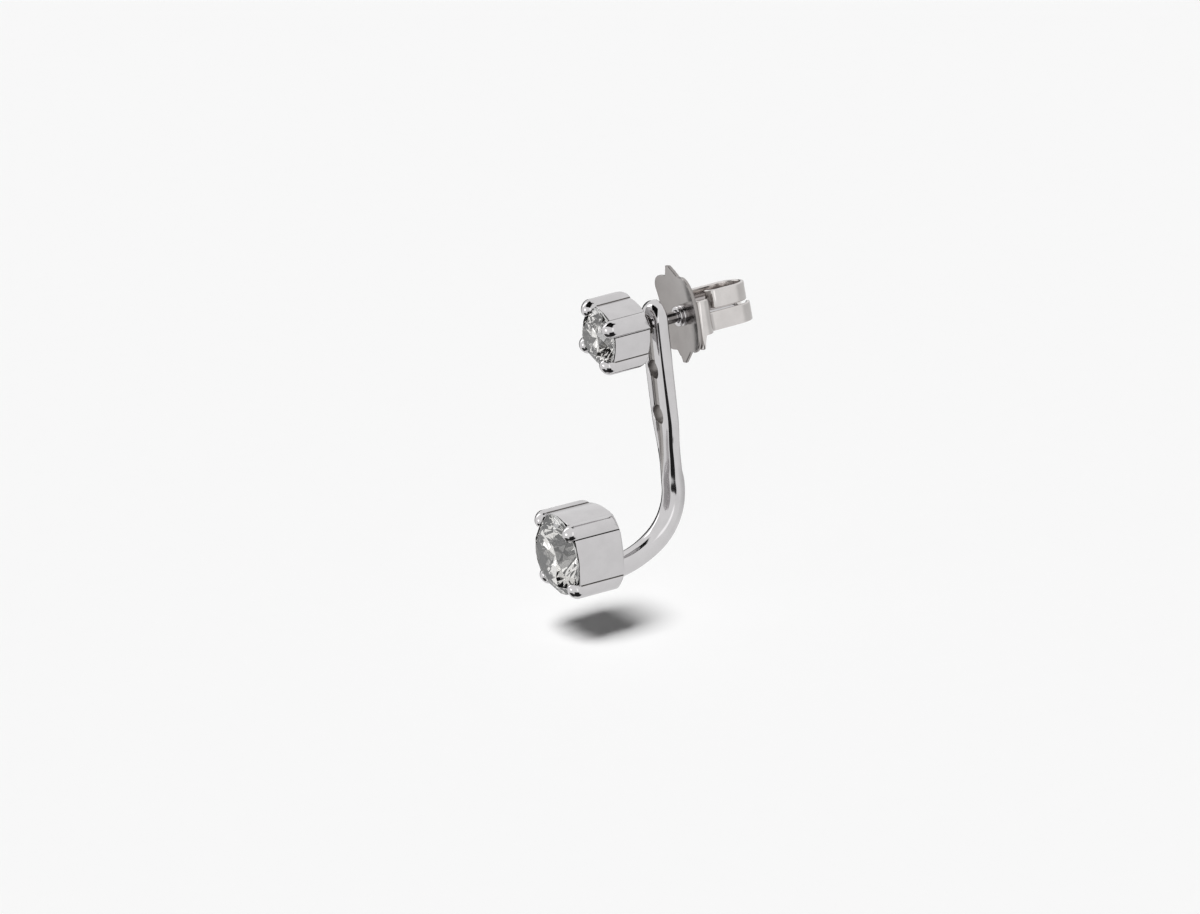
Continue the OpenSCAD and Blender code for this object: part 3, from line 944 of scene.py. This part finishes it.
def wing_path():
    """The middle line of a wing seen from above, as (x, y, x and y of the way to its left)."""
    waist_a = acos(1 - (FLANGE_X - SIDE_X) / (2 * WAIST_R))
    waist_x, waist_y = FLANGE_X - WAIST_R, WING_ROOT_Y + FLANGE_R
    back_r = (SIDE_X - RETURN_X) / 2
    arcs = [
        (FLANGE_X - FLANGE_R, waist_y, FLANGE_R, -pi / 2, 0.0, 12),
        (waist_x, waist_y, WAIST_R, 0.0, waist_a, 10),
        (waist_x + 2 * WAIST_R * cos(waist_a), waist_y + 2 * WAIST_R * sin(waist_a), WAIST_R,
         pi + waist_a, pi, 10),
        ((SIDE_X + RETURN_X) / 2, WING_L, back_r, 0.0, pi, 32),
        (RETURN_X + LIP_R, WING_L - RETURN_L, LIP_R, pi, 3 * pi / 2, 14),
    ]
    path = []
    for x, y, r, start, end, steps in arcs:
        side = -1 if end > start else 1
        for i in range(steps + 1):
            a = start + (end - start) * i / steps
            path.append((x + r * cos(a), y + r * sin(a), side * cos(a), side * sin(a)))
    return path


def clutch_wing(mesh, turn):
    """A spring wing: a strip with tumbled edges that flares where it leaves the plate."""
    half_t, edge = SHEET_T / 2, SHEET_EDGE_R
    place = Matrix.Rotation(turn, 4, "Y")
    rings = []
    run, last = 0.0, None
    for x, y, left_x, left_y in wing_path():
        run += 0.0 if last is None else hypot(x - last[0], y - last[1])
        last = (x, y)
        low = -WING_GAP / 2 - WING_H - ROOT_DROP * smoothstep((ROOT_DROP_END - run) / ROOT_CORNER)
        high = -WING_GAP / 2 + ROOT_RISE * smoothstep((ROOT_RISE_END - run) / ROOT_CORNER)
        section = arc((half_t - edge, high - edge), edge, 0, 90, 4)
        section += arc((edge - half_t, high - edge), edge, 90, 180, 4)
        section += arc((edge - half_t, low + edge), edge, 180, 270, 4)
        section += arc((half_t - edge, low + edge), edge, 270, 360, 4)
        rings.append([place @ Vector((x + left_x * across, y + left_y * across, z)) for across, z in section])
    rows = skin_rings(mesh, rings)
    for row, ring in ((rows[0], rings[0]), (rows[-1], rings[-1])):
        cap_ring(mesh, row, sum(ring, Vector()) / len(ring))


def post_notch_tool():
    """The round punch that opens the wings' backs for the post's tip."""
    mesh = bmesh.new()
    rows = lathe(mesh, [(NOTCH_R, WING_L), (NOTCH_R, 2 * WING_L)], (0, 0))
    for row, y in zip(rows, (WING_L, 2 * WING_L)):
        cap_ring(mesh, row, (0, y, 0))
    return mesh


def make_clutch():
    """The clutch's plate with its collar, and its two spring wings."""
    mesh = bmesh.new()
    clutch_plate(mesh)
    clutch_collar(mesh)
    # The plate takes the darker plate gold, painted shade; the collar keeps the bright jacket gold
    plate = as_piece(mesh, "clutch_plate", CLUTCH_PLACE, "clutch",
                     [PLATE_SHADE_GOLD, JACKET_GOLD])
    keep_creases(plate, radians(45))
    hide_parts("clutch")
    mesh = bmesh.new()
    for turn in (0.0, pi):
        clutch_wing(mesh, turn)
    wings = as_piece(carved(mesh, post_notch_tool()), "clutch_wings", CLUTCH_PLACE, "clutch",
                     [WING_GOLD])
    keep_creases(wings, radians(45))
    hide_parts("clutch")


# Studio

FLOOR_Z = -18.0
FLOOR_SIZE = 5000.0
VIEW_AZIMUTH = radians(62.37)
VIEW_ELEVATION = radians(16.92)
VIEW_ROLL = radians(-6.29)
VIEW_DISTANCE = 250.0
PIXELS_PER_MM = 16.5
IMAGE_W, IMAGE_H = 1200, 914
ORIGIN_PIXEL = (647.77, 324.25)
SENSOR_MM = 36.0

FLAG_AZIMUTH = radians(20)
FLAG_ELEVATION = radians(55)
FLAG_DISTANCE = 8.0
FLAG_SIZE = 9.0
TABLE_LEVEL = 0.86
SKY_LEVEL = 0.92
FILL_LEVEL = 0.06
BACKDROP_LEVEL = 0.957
LAMP_LEVEL = 3.03
LAMP_WIDTH = 30
LAMP_TILT = 15
# Azimuth and elevation of the middle, width and height in degrees, level and softness of the edge
DIM_BACK = (-118, -17, 50, 40, 0.62, 0.6)
GREY_BEHIND = (174, -9, 80, 40, 0.64, 0.6)
DARK_ROOM = (58, -30.5, 50, 31, 0.02, 0.1)
DARK_TABLE = (58, -60, 72, 36, 0.02, 0.1)
DARK_FLOOR = (-16, -46, 44, 38, 0.04, 0.12)
DARK_SIDE = (-96, -2, 36, 44, 0.05, 0.12)
FRONT_WINDOW = (-5, 8, 24, 16, 2.6, 0.15)
SIDE_WINDOW = (-54, 38, 14, 44, 2.4, 0.15)
TENT_SLIT = (73, 15, 15, 40, 1.32, 0.4)
TENT_PANELS = (DIM_BACK, GREY_BEHIND, DARK_ROOM, DARK_TABLE, DARK_FLOOR, DARK_SIDE, FRONT_WINDOW, SIDE_WINDOW,
               TENT_SLIT)


def towards(azimuth, elevation):
    """The direction from the earring to a place in the studio: azimuth 0 is in front of the stones."""
    return Vector((sin(azimuth) * cos(elevation), -cos(azimuth) * cos(elevation), sin(elevation)))


def make_camera():
    """The photograph's viewpoint, held level with its small roll."""
    back = towards(VIEW_AZIMUTH, VIEW_ELEVATION)
    right = Vector((cos(VIEW_AZIMUTH), sin(VIEW_AZIMUTH), 0))
    up = back.cross(right)
    rolled_right = right * cos(VIEW_ROLL) + up * sin(VIEW_ROLL)
    rolled_up = up * cos(VIEW_ROLL) - right * sin(VIEW_ROLL)
    aim_right = (IMAGE_W / 2 - ORIGIN_PIXEL[0]) / PIXELS_PER_MM
    aim_down = (IMAGE_H / 2 - ORIGIN_PIXEL[1]) / PIXELS_PER_MM
    aim = rolled_right * aim_right - rolled_up * aim_down
    eye = back * VIEW_DISTANCE
    away = (eye - aim).normalized()
    across = rolled_up.cross(away).normalized()
    upright = away.cross(across)
    data = bpy.data.cameras.new("camera")
    data.sensor_width = SENSOR_MM
    data.sensor_fit = "HORIZONTAL"
    data.lens = SENSOR_MM * PIXELS_PER_MM * VIEW_DISTANCE / IMAGE_W
    data.clip_start, data.clip_end = 0.01, 20.0
    camera = bpy.data.objects.new("camera", data)
    bpy.context.scene.collection.objects.link(camera)
    turn = Matrix((across, upright, away)).transposed().to_4x4()
    camera.matrix_world = Matrix.Translation(eye * MM) @ turn
    bpy.context.scene.camera = camera


def stage_sheet(name, corners, material):
    """A flat sheet of the studio, its corners in millimetres."""
    data = bpy.data.meshes.new(name)
    data.from_pydata([Vector(c) * MM for c in corners], [], [(0, 1, 2, 3)])
    data.materials.append(material)
    sheet = bpy.data.objects.new(name, data)
    bpy.context.scene.collection.objects.link(sheet)
    return sheet


def make_flag():
    """A small black card over the bar's top, seen by nothing but the polished metal."""
    facing = towards(FLAG_AZIMUTH, FLAG_ELEVATION)
    across = facing.cross(Vector((0, 0, 1))).normalized()
    along = across.cross(facing)
    middle = Vector((0, BAR_T / 2, BAR_TOP)) + facing * FLAG_DISTANCE
    half = FLAG_SIZE / 2
    corners = [middle + across * a * half + along * b * half for a, b in ((-1, -1), (1, -1), (1, 1), (-1, 1))]
    flag = stage_sheet("flag", corners, matt_card("black_flag", "#101010"))
    flag.visible_camera = flag.visible_diffuse = flag.visible_transmission = flag.visible_shadow = False


def make_floor():
    """The table top. The metal and the stones see the tent's own dim table instead of it."""
    half = FLOOR_SIZE / 2
    corners = [(-half, -half, FLOOR_Z), (half, -half, FLOOR_Z), (half, half, FLOOR_Z), (-half, half, FLOOR_Z)]
    floor = stage_sheet("floor", corners, matt_card("pale_table_top", "#F6F6F6"))
    floor.visible_glossy = floor.visible_transmission = False


def tent_panel(tree, direction, around, azimuth, elevation, width, height, level, softness):
    """A soft-edged rectangle of the tent that is lighter or darker than what lies around it."""
    facing = towards(radians(azimuth), radians(elevation))
    across = facing.cross(Vector((0, 0, 1))).normalized()
    turn = Matrix((across, facing, across.cross(facing))).transposed().to_euler()
    placed = add_node(tree, "ShaderNodeMapping",
                      {"Location": facing, "Rotation": turn,
                       "Scale": (sin(radians(width / 2)), 1.0, sin(radians(height / 2)))},
                      {"Vector": direction}, vector_type="TEXTURE").outputs["Vector"]
    squared = add_node(tree, "ShaderNodeVectorMath", links={0: placed, 1: placed}, operation="MULTIPLY")
    from_middle = add_node(tree, "ShaderNodeVectorMath", links={0: squared.outputs["Vector"]},
                           operation="LENGTH")
    return add_node(tree, "ShaderNodeMapRange",
                    {"From Min": 1 - softness, "From Max": 1 + softness, "To Min": level},
                    {"Value": from_middle.outputs["Value"], "To Max": around},
                    interpolation_type="SMOOTHSTEP").outputs["Result"]


def make_tent():
    """The soft tent round the earring, as the metal and the stones see it, with a plain pale backdrop."""
    world = bpy.data.worlds.new("tent")
    bpy.context.scene.world = world
    world.use_nodes = True
    tree = world.node_tree
    tree.nodes.clear()
    direction = add_node(tree, "ShaderNodeTexCoord").outputs["Generated"]
    height = add_node(tree, "ShaderNodeSeparateXYZ", links={"Vector": direction}).outputs["Z"]
    level = add_node(tree, "ShaderNodeMapRange",
                     {"From Min": -0.8, "From Max": 0.9, "To Min": TABLE_LEVEL, "To Max": SKY_LEVEL},
                     {"Value": height}).outputs["Result"]
    for panel in TENT_PANELS:
        level = tent_panel(tree, direction, level, *panel)
    ray = add_node(tree, "ShaderNodeLightPath")
    level = add_node(tree, "ShaderNodeMapRange", {"To Max": FILL_LEVEL},
                     {"Value": ray.outputs["Is Diffuse Ray"], "To Min": level}).outputs["Result"]
    level = add_node(tree, "ShaderNodeMapRange", {"To Max": BACKDROP_LEVEL},
                     {"Value": ray.outputs["Is Camera Ray"], "To Min": level}).outputs["Result"]
    tent = add_node(tree, "ShaderNodeBackground", {"Color": linear("#FFFFFF")}, {"Strength": level})
    output = add_node(tree, "ShaderNodeOutputWorld")
    tree.links.new(tent.outputs["Background"], output.inputs["Surface"])


def shadow_of_drop_only():
    """Keeps the shadow to the small one straight below the drop, which is all that the soft light leaves."""
    for name in ("stud_collet", "stud_post", "stud_brilliant", "jacket_bar", "clutch_plate", "clutch_wings"):
        bpy.data.objects[name].visible_shadow = False


def make_lamp():
    """The broad lamp overhead, a little in front, that lights the table and draws the soft shadow."""
    lamp = bpy.data.lights.new("overhead_softbox", "SUN")
    lamp.energy = LAMP_LEVEL
    lamp.angle = radians(LAMP_WIDTH)
    overhead = bpy.data.objects.new("overhead_softbox", lamp)
    overhead.rotation_euler = (radians(LAMP_TILT), 0, 0)
    overhead.visible_glossy = overhead.visible_transmission = False
    bpy.context.scene.collection.objects.link(overhead)


make_stud()
make_jacket()
make_clutch()
make_floor()
make_flag()
make_tent()
make_lamp()
shadow_of_drop_only()
make_camera()
bpy.context.scene.view_settings.view_transform = "Standard"
